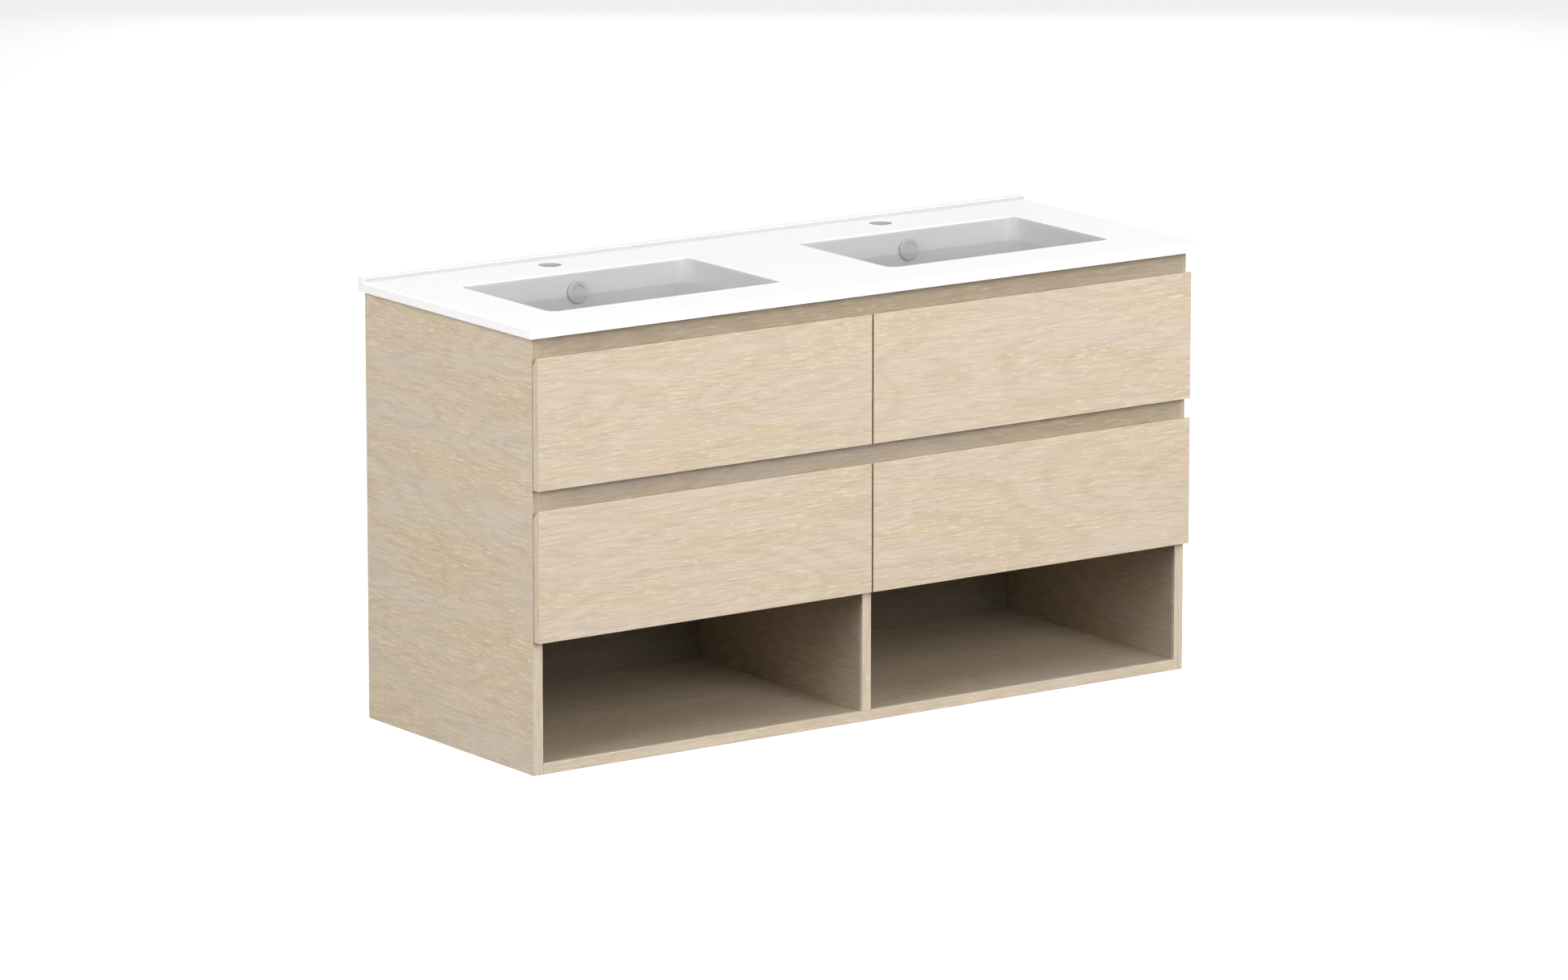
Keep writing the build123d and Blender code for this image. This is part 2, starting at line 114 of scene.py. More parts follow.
# Light oak laminate: printed woodgrain foil pressed on chipboard, matt, with fine relief along
# the grain. The eye gets short cream flecks and faint pores in soft yellowish and rosy drifts.
oakLook = {
    "warm": "#CDBCA2", "rosy": "#CEC0AF", "shade": "#AA977E", "cream": "#DBD2C2",
    # length and width in metres, and noise detail
    "layers": {
        "drift": (0.26, 0.042, 2.0),
        "figure": (0.55, 0.120, 0.6),
        "fibre": (0.060, 0.0027, 3.0),
        "fleck": (0.022, 0.0022, 1.0),  # real flecks are nearer 1 mm wide, drawn coarser to show
        "pore": (0.032, 0.0019, 1.0),
    },
    # the noise values where each mark starts and ends, and how strong it is at both
    "masks": {
        "ring": (0.1, 1.0, 0.0, 0.15),
        "drift": (0.36, 0.64, 0.0, 1.0),
        "fibre": (0.32, 0.60, 0.30, 0.0),
        "pore": (0.30, 0.42, 0.34, 0.0),
        "fleck": (0.57, 0.68, 0.0, 0.70),
        "fleckHere": (0.30, 0.70, 1.0, 0.35),   # the flecks crowd in the yellowish drifts
    },
    "sway": (0.45, 0.10), "swayBy": 0.010,      # the grain wanders slowly, by metres
    "rings": 15.0,
    "sheetStep": (0.83, 0.47, 0.31),            # from one board's cut of the sheet to the next
    "edgeFacing": 0.7,                          # how squarely a face looks out of an edge
    "roughness": (0.46, 0.62),
    "relief": 0.00012, "reliefStrength": 0.6, "fibreRelief": 0.8,
    "chip": (0.0052, 0.0026), "chipColours": ("#A1855F", "#CDB48C"),
}


def oakLaminate(name, upright, number, rawRear=False):
    look = oakLook
    material, tree, shader, place = startMaterial(name, {"IOR": 1.5, "Specular IOR Level": 0.4})
    axes = addNode(tree, "ShaderNodeSeparateXYZ", inputs={0: place.outputs["Object"]})
    facing = addNode(tree, "ShaderNodeSeparateXYZ", inputs={0: place.outputs["Normal"]})
    x, y, z = axes.outputs
    # grain runs front to back on an upright board and left to right on any other,
    # and the edging follows the edge
    faceOrder = (y, x, z) if upright else (x, y, z)
    edgeOrder = (z, x, y) if upright else (z, y, x)
    onFace = addNode(tree, "ShaderNodeCombineXYZ", inputs=dict(enumerate(faceOrder)))
    onEdge = addNode(tree, "ShaderNodeCombineXYZ", inputs=dict(enumerate(edgeOrder)))
    turned = addNode(tree, "ShaderNodeMath", {"operation": "ABSOLUTE"},
                     {0: facing.outputs[1 if upright else 0]})
    isEdge = addNode(tree, "ShaderNodeMath", {"operation": "GREATER_THAN"},
                     {0: turned.outputs[0], 1: look["edgeFacing"]})
    grain = addNode(tree, "ShaderNodeMix", {"data_type": "VECTOR"},
                    {0: isEdge.outputs[0], 4: onFace.outputs[0], 5: onEdge.outputs[0]})
    # every board is cut from another place of the sheet
    cut = tuple(step * number for step in look["sheetStep"])
    sheetPlace = addNode(tree, "ShaderNodeMapping", inputs={"Vector": grain.outputs[1], "Location": cut})
    length, width = look["sway"]
    swayScale = addNode(tree, "ShaderNodeVectorMath", {"operation": "DIVIDE"},
                        {0: sheetPlace.outputs[0], 1: (length, width, width)})
    sway = addNode(tree, "ShaderNodeTexNoise", inputs={
        "Vector": swayScale.outputs[0], "Scale": 1.0, "Detail": 1.5})
    swayCentred = addNode(tree, "ShaderNodeVectorMath", {"operation": "SUBTRACT"},
                          {0: sway.outputs["Color"], 1: (0.5, 0.5, 0.5)})
    swayMove = addNode(tree, "ShaderNodeVectorMath", {"operation": "MULTIPLY"},
                       {0: swayCentred.outputs[0], 1: (0, look["swayBy"], look["swayBy"])})
    wavy = addNode(tree, "ShaderNodeVectorMath", {"operation": "ADD"},
                   {0: sheetPlace.outputs[0], 1: swayMove.outputs[0]})
    layer = {}
    for part, (length, width, detail) in look["layers"].items():
        stretched = addNode(tree, "ShaderNodeVectorMath", {"operation": "DIVIDE"},
                            {0: wavy.outputs[0], 1: (length, width, width)})
        noise = addNode(tree, "ShaderNodeTexNoise", inputs={
            "Vector": stretched.outputs[0], "Scale": 1.0, "Detail": detail})
        layer[part] = noise.outputs[0]

    # growth rings are contour lines of the slow figure
    ringPhase = addNode(tree, "ShaderNodeMath", {"operation": "MULTIPLY"},
                        {0: layer["figure"], 1: look["rings"] * 2 * pi})
    ringWave = addNode(tree, "ShaderNodeMath", {"operation": "SINE"}, {0: ringPhase.outputs[0]})
    sources = dict(layer, ring=ringWave.outputs[0], fleckHere=layer["drift"])
    mask = {}
    for part, (start, end, atStart, atEnd) in look["masks"].items():
        mark = addNode(tree, "ShaderNodeMapRange", inputs={
            0: sources[part], 1: start, 2: end, 3: atStart, 4: atEnd})
        mask[part] = mark.outputs[0]
    flecks = addNode(tree, "ShaderNodeMath", {"operation": "MULTIPLY"},
                     {0: mask["fleck"], 1: mask["fleckHere"]})
    colour = addNode(tree, "ShaderNodeMix", {"data_type": "RGBA"},
                     {0: mask["drift"], 6: linear(look["warm"]), 7: linear(look["rosy"])})
    for share, tone in ((mask["ring"], "shade"), (mask["fibre"], "shade"), (mask["pore"], "shade"),
                        (flecks.outputs[0], "cream")):
        colour = addNode(tree, "ShaderNodeMix", {"data_type": "RGBA"},
                         {0: share, 6: colour.outputs[2], 7: linear(look[tone])})

    # relief: pores sink and flecks stand a little proud
    heights = addNode(tree, "ShaderNodeMath", {"operation": "SUBTRACT"},
                      {0: flecks.outputs[0], 1: mask["pore"]})
    height = addNode(tree, "ShaderNodeMath", {"operation": "MULTIPLY_ADD"},
                     {0: layer["fibre"], 1: look["fibreRelief"], 2: heights.outputs[0]})
    if rawRear:
        # the rear edges against the wall have no edging: chips of wood 2 to 5 mm long show
        isRaw = addNode(tree, "ShaderNodeMath", {"operation": "GREATER_THAN"},
                        {0: facing.outputs[1], 1: look["edgeFacing"]})
        length, width = look["chip"]
        chipScale = addNode(tree, "ShaderNodeVectorMath", {"operation": "DIVIDE"},
                            {0: place.outputs["Object"], 1: (width, length, length)})
        chips = addNode(tree, "ShaderNodeTexVoronoi", inputs={
            "Vector": chipScale.outputs[0], "Scale": 1.0})
        chipTone = addNode(tree, "ShaderNodeSeparateXYZ", inputs={0: chips.outputs["Color"]})
        dark, light = (linear(tone) for tone in look["chipColours"])
        chipColour = addNode(tree, "ShaderNodeMix", {"data_type": "RGBA"},
                             {0: chipTone.outputs[0], 6: dark, 7: light})
        colour = addNode(tree, "ShaderNodeMix", {"data_type": "RGBA"},
                         {0: isRaw.outputs[0], 6: colour.outputs[2], 7: chipColour.outputs[2]})
        height = addNode(tree, "ShaderNodeMix", {"data_type": "FLOAT"},
                         {0: isRaw.outputs[0], 2: height.outputs[0], 3: chips.outputs["Distance"]})
    smooth, rough = look["roughness"]
    finishShader(tree, shader, colour.outputs[2], (layer["fibre"], rough, smooth), height.outputs[0],
                 look["reliefStrength"], look["relief"])
    return material


uprightBoards = ["side_panel_left", "side_panel_right", "lower_divider", "upper_divider"]
levelBoards = [
    "bottom_panel", "drawer_shelf", "top_rail", "middle_rail", "niche_back_left", "niche_back_right",
    "upper_rear_rail", "lower_rear_rail",
    "upper_left_front", "upper_right_front", "lower_left_front", "lower_right_front",
]
rawAtRear = uprightBoards + ["bottom_panel", "drawer_shelf"]

for number, name in enumerate(uprightBoards + levelBoards, 1):
    dress(name, oakLaminate("oakLaminate" + str(number), name in uprightBoards, number,
                            name in rawAtRear))
print("oak laminate on", len(uprightBoards) + len(levelBoards), "boards")


# Glazed ceramic: cast vitreous china under a fired glaze, so it is glossy with a very slight
# orange peel, and the glaze pools a little here and there.
glazeLook = {
    "white": "#F4F4F3", "thin": "#EFEFEF",
    "peel": 0.012, "peelHeight": 0.00004, "peelStrength": 0.35,
    "poolScale": 5.0, "roughness": (0.10, 0.17),
}


def glazedCeramic():
    look = glazeLook
    material, tree, shader, place = startMaterial("glazedCeramic", {"IOR": 1.52})
    peel = addNode(tree, "ShaderNodeTexNoise", inputs={
        "Vector": place.outputs["Object"], "Scale": 1 / look["peel"], "Detail": 1.0})
    pool = addNode(tree, "ShaderNodeTexNoise", inputs={
        "Vector": place.outputs["Object"], "Scale": look["poolScale"], "Detail": 1.0})
    colour = addNode(tree, "ShaderNodeMix", {"data_type": "RGBA"},
                     {0: pool.outputs[0], 6: linear(look["white"]), 7: linear(look["thin"])})
    finishShader(tree, shader, colour.outputs[2], (pool.outputs[0], *look["roughness"]),
                 peel.outputs[0], look["peelStrength"], look["peelHeight"])
    return material


# The other finishes have one maker, because they differ only in colour and in how the surface
# was made. Grain is the size of its relief along x, y and z, in metres.
finishes = {
    # paper-faced chipboard of the drawer boxes: a fine pearl texture under a matt resin
    "whiteMelamine": {"colours": ("#E8E6E1", "#DEDCD6"), "metal": 0.0, "roughness": (0.38, 0.50),
                      "grain": (0.0011, 0.0011, 0.0011), "relief": 0.00005, "clouds": 14.0},
    # rolled steel strip with bright zinc on it: fine lines along the strip and soft spangle
    "zincPlatedSteel": {"colours": ("#A9AEB3", "#C6CACD"), "metal": 1.0, "roughness": (0.24, 0.40),
                        "grain": (0.0012, 0.08, 0.0012), "relief": 0.00002, "clouds": 35.0},
    # polished brass under nickel and chromium: mirror bright, with a few hairlines
    "chromePlate": {"colours": ("#CBD0D4", "#DDE0E2"), "metal": 1.0, "roughness": (0.05, 0.11),
                    "grain": (0.004, 0.004, 0.012), "relief": 0.000006, "clouds": 35.0},
    # turned brass: faint rings from the lathe
    "turnedBrass": {"colours": ("#B08C4C", "#C9A869"), "metal": 1.0, "roughness": (0.25, 0.38),
                    "grain": (0.02, 0.02, 0.0009), "relief": 0.00002, "clouds": 35.0},
    # die-cast zinc: dull grey with a cast skin
    "dieCastZinc": {"colours": ("#8F9295", "#A9ACAE"), "metal": 1.0, "roughness": (0.38, 0.55),
                    "grain": (0.0016, 0.0016, 0.0016), "relief": 0.00004, "clouds": 35.0},
    # moulded polypropylene: satin white with a light spark-eroded grain
    "mouldedPolypropylene": {"colours": ("#DADBDA", "#E4E4E2"), "metal": 0.0, "roughness": (0.36, 0.48),
                             "grain": (0.0013, 0.0013, 0.0013), "relief": 0.00004, "clouds": 35.0},
    # gloss moulded ABS of the overflow caps: a light grey beside the white glaze
    "glossMoulding": {"colours": ("#D6D6D6", "#DFDFDE"), "metal": 0.0, "roughness": (0.12, 0.20),
                      "grain": (0.008, 0.008, 0.008), "relief": 0.00001, "clouds": 35.0},
    # pressed rubber: black, matt, a little dusty
    "pressedRubber": {"colours": ("#191919", "#2A2A29"), "metal": 0.0, "roughness": (0.62, 0.80),
                      "grain": (0.0014, 0.0014, 0.0014), "relief": 0.00006, "clouds": 35.0},
}


reliefStrength = 0.5    # the same for all of them


def finish(name):
    look = finishes[name]
    material, tree, shader, place = startMaterial(name, {"Metallic": look["metal"]})
    stretched = addNode(tree, "ShaderNodeVectorMath", {"operation": "DIVIDE"},
                        {0: place.outputs["Object"], 1: look["grain"]})
    grain = addNode(tree, "ShaderNodeTexNoise", inputs={
        "Vector": stretched.outputs[0], "Scale": 1.0, "Detail": 2.0})
    cloud = addNode(tree, "ShaderNodeTexNoise", inputs={
        "Vector": place.outputs["Object"], "Scale": look["clouds"], "Detail": 2.0})
    first, second = (linear(tone) for tone in look["colours"])
    colour = addNode(tree, "ShaderNodeMix", {"data_type": "RGBA"},
                     {0: cloud.outputs[0], 6: first, 7: second})
    finishShader(tree, shader, colour.outputs[2], (grain.outputs[0], *look["roughness"]),
                 grain.outputs[0], reliefStrength, look["relief"])
    return material


made = {name: finish(name) for name in finishes}
made["glazedCeramic"] = glazedCeramic()
print("materials ready:", len(bpy.data.materials))

for name in nodes:
    if name.endswith("_runner"):
        dress(name, made["zincPlatedSteel"])
    elif name.endswith("_trap_liner"):
        dress(name, made["mouldedPolypropylene"])
    elif "_side_" in name or name.endswith("_base") or "_back" in name and not name.startswith("niche"):
        dress(name, made["whiteMelamine"])
dress("cam_locks", made["dieCastZinc"])
dress("cam_bolts", made["dieCastZinc"])
dress("waste_gaskets", made["pressedRubber"])
dress("waste_nuts", made["turnedBrass"])


def flatten(piece):
    # modifiers become plain mesh
    ready = bpy.data.meshes.new_from_object(piece.evaluated_get(bpy.context.evaluated_depsgraph_get()))
    piece.modifiers.clear()
    piece.data = ready


smoothing = {"crease": 28, "join": 1e-6, "sliver": 1e-7}    # degrees and metres


def smoothed(node, body, material):
    # The same form with joined faces and smooth shading. Only corners and faces are taken,
    # because the file's own normals belong to loose triangles.
    source = nodes[node].data
    mesh = bpy.data.meshes.new(node + "_finished")
    mesh.from_pydata([v.co for v in source.vertices], [], [tuple(p.vertices) for p in source.polygons])
    work = bmesh.new()
    work.from_mesh(mesh)
    bmesh.ops.remove_doubles(work, verts=work.verts, dist=smoothing["join"])
    bmesh.ops.dissolve_degenerate(work, edges=work.edges, dist=smoothing["sliver"])
    work.to_mesh(mesh)
    work.free()
    mesh.shade_smooth()
    mesh.set_sharp_from_angle(angle=radians(smoothing["crease"]))
    mesh.materials.append(material)
    piece = bpy.data.objects.new(node + "_finished", mesh)
    bpy.context.scene.collection.objects.link(piece)
    # flat faces keep their own normals, so that a rounded edge doesn't shade them
    weighted = piece.modifiers.new("weighted", "WEIGHTED_NORMAL")
    weighted.keep_sharp = True
    flatten(piece)
    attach(piece, body)
    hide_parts(node)


bpy.context.view_layer.update()
smoothed("basin_top", "cabinet", made["glazedCeramic"])
for side in ("left", "right"):
    smoothed("overflow_cover_" + side, "cabinet", made["glossMoulding"])
    smoothed("waste_body_" + side, "cabinet", made["chromePlate"])
    smoothed("waste_plug_" + side, "plug_" + side, made["chromePlate"])
print("ceramic top, overflow covers and wastes smoothed")


# Small hardware that repeats: runner balls and screw heads, placed by Geometry Nodes.

def startTree(name, inputs):
    tree = bpy.data.node_groups.new(name, "GeometryNodeTree")
    tree.interface.new_socket("Geometry", in_out="INPUT", socket_type="NodeSocketGeometry")
    for label, kind in inputs.items():
        tree.interface.new_socket(label, in_out="INPUT", socket_type="NodeSocket" + kind)
    tree.interface.new_socket("Geometry", in_out="OUTPUT", socket_type="NodeSocketGeometry")
    return tree, addNode(tree, "NodeGroupInput"), addNode(tree, "NodeGroupOutput")


def ballTree():
    # a row of balls along Y from every point
    tree, given, result = startTree("ballRows", {
        "Count": "Int", "Spacing": "Float", "Radius": "Float", "Finish": "Material"})
    step = addNode(tree, "ShaderNodeCombineXYZ", inputs={1: given.outputs["Spacing"]})
    row = addNode(tree, "GeometryNodeMeshLine", inputs={
        "Count": given.outputs["Count"], "Offset": step.outputs[0]})
    rows = addNode(tree, "GeometryNodeInstanceOnPoints", inputs={
        "Points": given.outputs["Geometry"], "Instance": row.outputs["Mesh"]})
    places = addNode(tree, "GeometryNodeRealizeInstances", inputs={"Geometry": rows.outputs[0]})
    ball = addNode(tree, "GeometryNodeMeshIcoSphere", inputs={
        "Radius": given.outputs["Radius"], "Subdivisions": 2})
    balls = addNode(tree, "GeometryNodeInstanceOnPoints", inputs={
        "Points": places.outputs[0], "Instance": ball.outputs["Mesh"]})
    solid = addNode(tree, "GeometryNodeRealizeInstances", inputs={"Geometry": balls.outputs[0]})
    smooth = addNode(tree, "GeometryNodeSetShadeSmooth", inputs={"Geometry": solid.outputs[0]})
    done = addNode(tree, "GeometryNodeSetMaterial", inputs={
        "Geometry": smooth.outputs[0], "Material": given.outputs["Finish"]})
    tree.links.new(done.outputs[0], result.inputs["Geometry"])
    return tree


# a screw head's crown and its cross recess, as shares of its radius
screwForm = {"sides": 20, "crown": 0.70, "crossLength": 0.95, "crossWidth": 0.22}


def screwTree():
    # a screw head with a cross recess on every point, turned to the point's facing
    form = screwForm
    tree, given, result = startTree("screwHeads", {
        "Radius": "Float", "Height": "Float", "Finish": "Material"})
    radius, thick = given.outputs["Radius"], given.outputs["Height"]
    crown, long, short = (
        addNode(tree, "ShaderNodeMath", {"operation": "MULTIPLY"}, {0: radius, 1: form[part]}).outputs[0]
        for part in ("crown", "crossLength", "crossWidth"))
    head = addNode(tree, "GeometryNodeMeshCone", inputs={
        "Vertices": form["sides"], "Radius Top": crown, "Radius Bottom": radius, "Depth": thick})
    cross = addNode(tree, "GeometryNodeJoinGeometry")
    for x, y in ((long, short), (short, long)):
        size = addNode(tree, "ShaderNodeCombineXYZ", inputs={0: x, 1: y, 2: thick})
        arm = addNode(tree, "GeometryNodeMeshCube", inputs={"Size": size.outputs[0]})
        tree.links.new(arm.outputs["Mesh"], cross.inputs[0])
    lift = addNode(tree, "ShaderNodeCombineXYZ", inputs={2: thick})
    recess = addNode(tree, "GeometryNodeTransform", inputs={
        "Geometry": cross.outputs[0], "Translation": lift.outputs[0]})
    cut = addNode(tree, "GeometryNodeMeshBoolean", {"operation": "DIFFERENCE"},
                  {"Mesh 1": head.outputs["Mesh"], "Mesh 2": recess.outputs[0]})
    facing = addNode(tree, "GeometryNodeInputNamedAttribute", {"data_type": "FLOAT_VECTOR"},
                     {"Name": "facing"})
    turned = addNode(tree, "FunctionNodeAlignRotationToVector", {"axis": "Z"},
                     {"Vector": facing.outputs[0]})
    heads = addNode(tree, "GeometryNodeInstanceOnPoints", inputs={
        "Points": given.outputs["Geometry"], "Instance": cut.outputs["Mesh"],
        "Rotation": turned.outputs[0]})
    solid = addNode(tree, "GeometryNodeRealizeInstances", inputs={"Geometry": heads.outputs[0]})
    done = addNode(tree, "GeometryNodeSetMaterial", inputs={
        "Geometry": solid.outputs[0], "Material": given.outputs["Finish"]})
    tree.links.new(done.outputs[0], result.inputs["Geometry"])
    return tree


def grow(name, tree, places, values, body, facings=None):
    # the tree runs on a cloud of places and leaves plain mesh on its body
    mesh = bpy.data.meshes.new(name)
    mesh.from_pydata(places, [], [])
    if facings:
        facing = mesh.attributes.new("facing", "FLOAT_VECTOR", "POINT")
        facing.data.foreach_set("vector", [part for direction in facings for part in direction])
    piece = bpy.data.objects.new(name, mesh)
    bpy.context.scene.collection.objects.link(piece)
    modifier = piece.modifiers.new("repeat", "NODES")
    modifier.node_group = tree
    sockets = {item.name: item.identifier for item in tree.interface.items_tree
               if item.in_out == "INPUT"}
    for label, value in values.items():
        modifier[sockets[label]] = value
    flatten(piece)
    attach(piece, body)


# metres; a ball stands off the wall that carries the runner and off the runner's middle height
runnerLook = {
    "outerBall": {"radius": 0.00185, "fromWall": 0.0066, "fromMiddle": 0.01925},
    "innerBall": {"radius": 0.00165, "fromWall": 0.0083, "fromMiddle": 0.01410},
    "ballCount": 16, "ballSpacing": 0.0095, "firstBall": 0.150,
    "screwsAlong": (0.037, 0.165, 0.293), "screwRadius": 0.0040, "screwHeight": 0.0015,
    "cabinetWeb": 0.0012, "drawerWeb": 0.0118,      # the faces that the screws sit on
}


def makeRunnerDetail(name, balls, screws):
    look = runnerLook
    low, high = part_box(name + "_cabinet_runner")
    front, height = low.y, (low.z + high.z) / 2
    walls = ((low.x, 1), (high.x, -1))      # where a runner is screwed on, and the way to the drawer
    for kind in ("outerBall", "innerBall"):
        size = look[kind]
        starts = [(wall + inward * size["fromWall"], front + look["firstBall"],
                   height + up * size["fromMiddle"]) for wall, inward in walls for up in (-1, 1)]
        grow(name + "_" + kind, balls, starts,
             {"Count": look["ballCount"], "Spacing": look["ballSpacing"], "Radius": size["radius"],
              "Finish": made["chromePlate"]},
             name + "_slide")
    for label, web, turn, body in (("cabinet", look["cabinetWeb"], 1, "cabinet"),
                                   ("drawer", look["drawerWeb"], -1, name + "_drawer")):
        places, facings = [], []
        for wall, inward in walls:
            for along in look["screwsAlong"]:
                places.append((wall + inward * web, front + along, height))
                facings.append((turn * inward, 0, 0))
        grow(name + "_" + label + "_screws", screws, places,
             {"Radius": look["screwRadius"], "Height": look["screwHeight"],
              "Finish": made["zincPlatedSteel"]},
             body, facings)


boxScrewLook = {"radius": 0.0038, "height": 0.0003, "fromRear": 0.0075, "fromEdge": 0.022}


def makeBoxScrews(name, screws):
    # countersunk heads that hold the drawer's back, on the outside of its sides
    look = boxScrewLook
    places, facings = [], []
    for side, outward in (("left", -1), ("right", 1)):
        low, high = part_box(name + "_side_" + side)
        face = low.x if outward < 0 else high.x
        for z in (low.z + look["fromEdge"], high.z - look["fromEdge"]):
            places.append((face, high.y - look["fromRear"], z))
            facings.append((outward, 0, 0))
    grow(name + "_box_screws", screws, places,
         {"Radius": look["radius"], "Height": look["height"], "Finish": made["zincPlatedSteel"]},
         name + "_drawer", facings)


balls, screws = ballTree(), screwTree()
for name in ("upper_left", "upper_right", "lower_left", "lower_right"):
    makeRunnerDetail(name, balls, screws)
    makeBoxScrews(name, screws)
print("runner balls and screws placed")


studio = {
    "camera": {"azimuth": 35.15, "elevation": 12.02, "distance": 12.85, "lens": 198.7, "drop": 0.0203,
               "farthest": 100},
    "floorReach": 30, "floor": "#FCFCFB", "floorBounce": "#606060", "floorGlow": 0.32,
    "floorRoughness": 0.7, "speckScale": 90.0, "speckHeight": 0.0001,
    "dome": (0.15, 0.49),       # at the horizon, and how much is added overhead
    # place, size and power of each soft box; they all look at the object
    "lights": {
        "leftSoftbox": ((-4.90, -0.90, 2.20), 2.8, 216),
        "keySoftbox": ((0.65, -5.00, 2.40), 2.8, 250),
        "rightSoftbox": ((2.50, -2.50, 4.54), 2.8, 50),
        "sideFill": ((4.90, -0.40, 2.20), 2.8, 75),     # for the side away from the camera
        "rearCard": ((3.6, 5.1, 1.7), 3.0, 16),
    },
    "mirrored": ("rearCard",),  # the others would draw streaks in the bowls' corners
}


def lookAt(thing, target):
    thing.rotation_euler = (Vector(target) - thing.location).to_track_quat("-Z", "Y").to_euler()


def addSheet(name, low, high, material):
    # a flat sheet between two corners, level or upright; it is studio gear, not the object
    mesh = bpy.data.meshes.new(name)
    mesh.from_pydata([low, (high[0], low[1], low[2]), high, (low[0], high[1], high[2])],
                     [], [(0, 1, 2, 3)])
    mesh.materials.append(material)
    sheet = bpy.data.objects.new(name, mesh)
    bpy.context.scene.collection.objects.link(sheet)
    return sheet


def paintedFloor():
    material, tree, shader, place = startMaterial("paintedFloor", {
        "Roughness": studio["floorRoughness"], "Emission Color": (1, 1, 1, 1)})
    speck = addNode(tree, "ShaderNodeTexNoise", inputs={
        "Vector": place.outputs["Object"], "Scale": studio["speckScale"], "Detail": 2.0})
    bump = addNode(tree, "ShaderNodeBump", inputs={
        "Height": speck.outputs[0], "Strength": 0.1, "Distance": studio["speckHeight"]})
    # the floor looks paper white, and gives back less light than that, so that the niches stay dark
    path = addNode(tree, "ShaderNodeLightPath")
    colour = addNode(tree, "ShaderNodeMix", {"data_type": "RGBA"}, {
        0: path.outputs["Is Camera Ray"], 6: linear(studio["floorBounce"]), 7: linear(studio["floor"])})
    # it is lit a little from behind, as backdrop paper is
    glow = addNode(tree, "ShaderNodeMath", {"operation": "MULTIPLY"},
                   {0: path.outputs["Is Camera Ray"], 1: studio["floorGlow"]})
    tree.links.new(glow.outputs[0], shader.inputs["Emission Strength"])
    tree.links.new(colour.outputs[2], shader.inputs["Base Color"])
    tree.links.new(bump.outputs[0], shader.inputs["Normal"])
    return material


def makeStudio():
    scene = bpy.context.scene
    low, high = (Vector(corner) for corner in cadBounds)
    middle = (low + high) / 2
    cam = studio["camera"]
    aim = middle - Vector((0, 0, cam["drop"]))
    azimuth, elevation = radians(cam["azimuth"]), radians(cam["elevation"])
    away = Vector((-sin(azimuth) * cos(elevation), -cos(azimuth) * cos(elevation), sin(elevation)))
    camera = bpy.data.objects.new("camera", bpy.data.cameras.new("camera"))
    camera.data.lens = cam["lens"]
    camera.data.clip_end = cam["farthest"]
    camera.location = aim + away * cam["distance"]
    scene.collection.objects.link(camera)
    lookAt(camera, aim)
    scene.camera = camera
    for name, (place, size, power) in studio["lights"].items():
        light = bpy.data.lights.new(name, "AREA")
        light.size = size
        light.energy = power
        lamp = bpy.data.objects.new(name, light)
        lamp.location = place
        scene.collection.objects.link(lamp)
        lookAt(lamp, middle)
        lamp.visible_camera = False
        lamp.visible_glossy = name in studio["mirrored"]
    reach = studio["floorReach"]
    addSheet("floor", (-reach, -reach, low.z), (reach, reach, low.z), paintedFloor())

    # the backdrop is paper white to the eye; its light is a soft dome, brighter overhead
    world = bpy.data.worlds.new("studio")
    scene.world = world
    world.use_nodes = True
    tree = world.node_tree
    path = addNode(tree, "ShaderNodeLightPath")
    sky = addNode(tree, "ShaderNodeTexCoord")
    skyAxes = addNode(tree, "ShaderNodeSeparateXYZ", inputs={0: sky.outputs["Generated"]})
    height = addNode(tree, "ShaderNodeMath", {"operation": "MAXIMUM"}, {0: skyAxes.outputs[2], 1: 0.0})
    horizon, rise = studio["dome"]
    dome = addNode(tree, "ShaderNodeMath", {"operation": "MULTIPLY_ADD"},
                   {0: height.outputs[0], 1: rise, 2: horizon})
    strength = addNode(tree, "ShaderNodeMix", {"data_type": "FLOAT"},
                       {0: path.outputs["Is Camera Ray"], 2: dome.outputs[0], 3: 1.0})
    background = tree.nodes["Background"]
    tree.links.new(strength.outputs[0], background.inputs["Strength"])
    background.inputs["Color"].default_value = (1, 1, 1, 1)
    scene.view_settings.view_transform = "Standard"


# Black nets hold light back from the hollows. Nothing sees them and they aren't part of the object.
# passes is the share of light that goes through, and the rest are metres.
netLook = {
    "niche": {"passes": 0.58, "behindFront": 0.006},
    "nicheBack": {"passes": 0.32, "beforePanel": 0.002},
    # level nets down a bowl: what each lets through, how deep it hangs, its width and its length
    "bowl": ((0.45, 0.0005, 0.401, 0.237), (0.78, 0.035, 0.395, 0.231)),
    "tapHole": {"passes": 0.42, "side": 0.035, "beforeWall": 0.056, "underDeck": 0.0005},
    "upstand": {"passes": 0.58, "beforeWall": 0.0185, "height": 0.006},
    "fingerGap": {"passes": 0.66, "behindFace": 0.002},
}


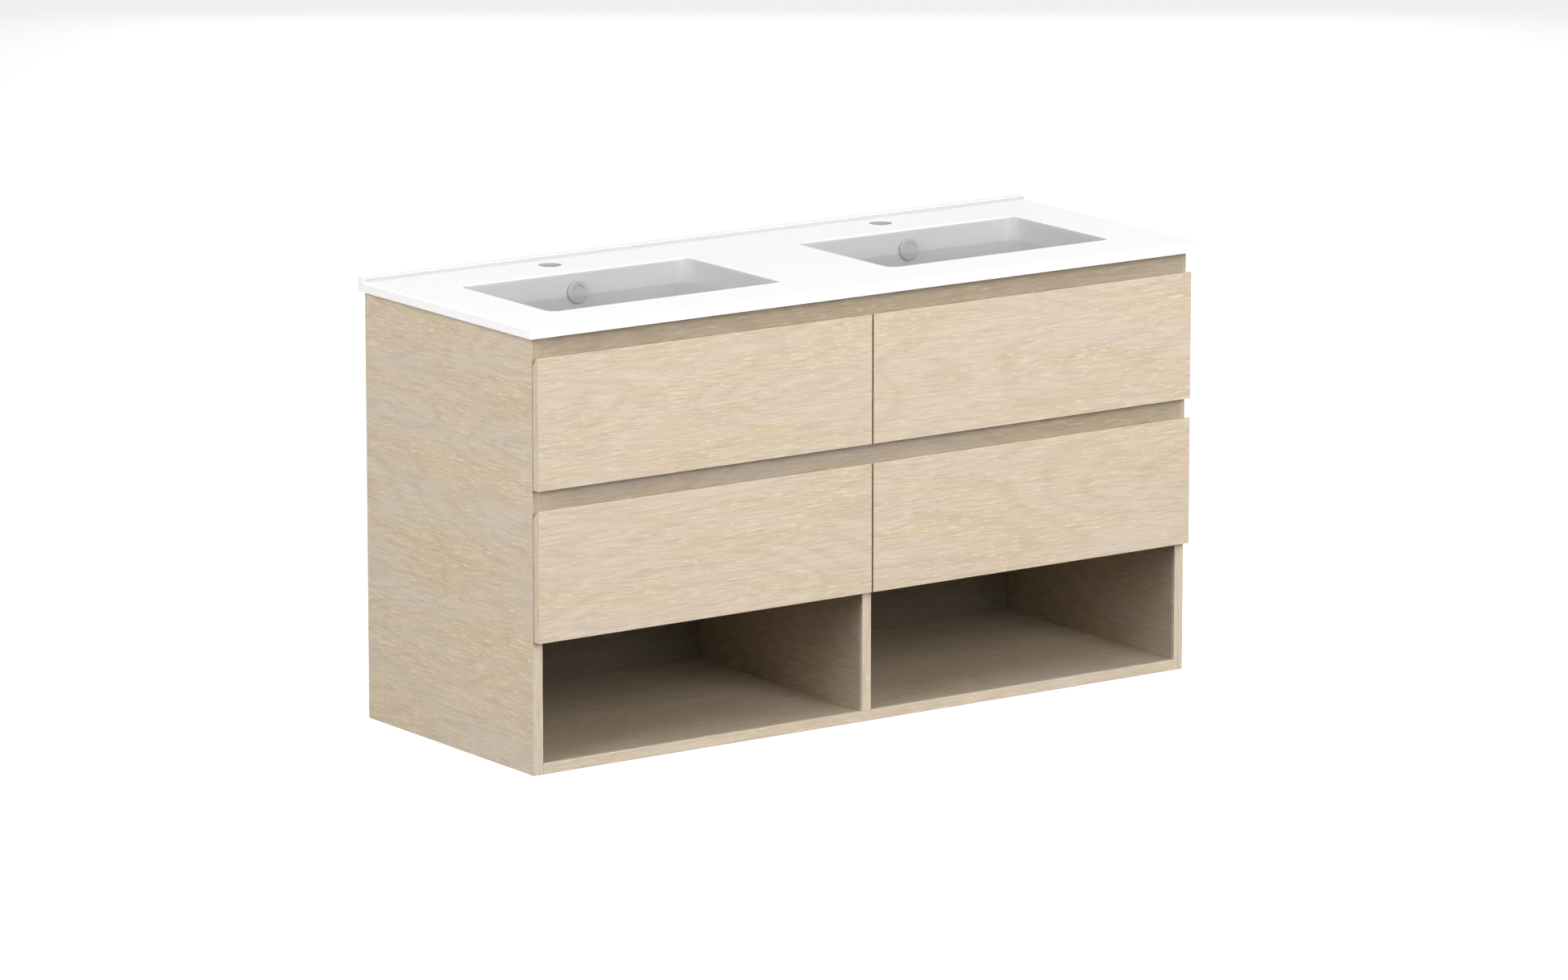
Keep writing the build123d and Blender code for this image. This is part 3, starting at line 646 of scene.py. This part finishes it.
def addNet(name, low, high, passes):
    material = bpy.data.materials.new("sheerBlackNet")
    material.use_nodes = True
    tree = material.node_tree
    sheer = addNode(tree, "ShaderNodeBsdfTransparent", inputs={"Color": (passes, passes, passes, 1)})
    tree.links.new(sheer.outputs[0], tree.nodes["Material Output"].inputs["Surface"])
    tree.nodes.remove(tree.nodes["Principled BSDF"])
    net = addSheet(name, low, high, material)
    net.visible_camera = False
    net.visible_glossy = False


def addLevelNet(name, x, y, z, width, length, passes):
    addNet(name, (x - width / 2, y - length / 2, z), (x + width / 2, y + length / 2, z), passes)


def hangNets():
    niche, nicheBack, hole = netLook["niche"], netLook["nicheBack"], netLook["tapHole"]
    upstand, gap = netLook["upstand"], netLook["fingerGap"]
    topLow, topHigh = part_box("basin_top")
    deck, wall = topHigh.z - upstand["height"], topHigh.y
    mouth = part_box("side_panel_left")[0].y + niche["behindFront"]
    for side in ("left", "right"):
        low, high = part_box("niche_back_" + side)
        addNet("net_niche_" + side, (low.x, mouth, low.z), (high.x, mouth, high.z), niche["passes"])
        rear = low.y - nicheBack["beforePanel"]
        addNet("net_niche_back_" + side, (low.x, rear, low.z), (high.x, rear, high.z),
               nicheBack["passes"])
        plugLow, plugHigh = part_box("waste_plug_" + side)
        middle = (plugLow + plugHigh) / 2
        for number, (passes, depth, width, length) in enumerate(netLook["bowl"], 1):
            addLevelNet("net_bowl_" + side + "_" + str(number), middle.x, middle.y, deck - depth,
                        width, length, passes)
        addLevelNet("net_tap_hole_" + side, middle.x, wall - hole["beforeWall"],
                    deck - hole["underDeck"], hole["side"], hole["side"], hole["passes"])
    face = wall - upstand["beforeWall"]
    addNet("net_upstand", (topLow.x, face, deck), (topHigh.x, face, topHigh.z), upstand["passes"])
    upperLow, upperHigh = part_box("upper_left_front")
    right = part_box("upper_right_front")[1].x
    inside = upperLow.y + gap["behindFace"]
    for row, bottom, top in (("upper", upperHigh.z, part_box("top_rail")[1].z),
                             ("lower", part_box("lower_left_front")[1].z, upperLow.z)):
        addNet("net_gap_" + row, (upperLow.x, inside, bottom), (right, inside, top), gap["passes"])


makeStudio()
hangNets()
print("studio ready")
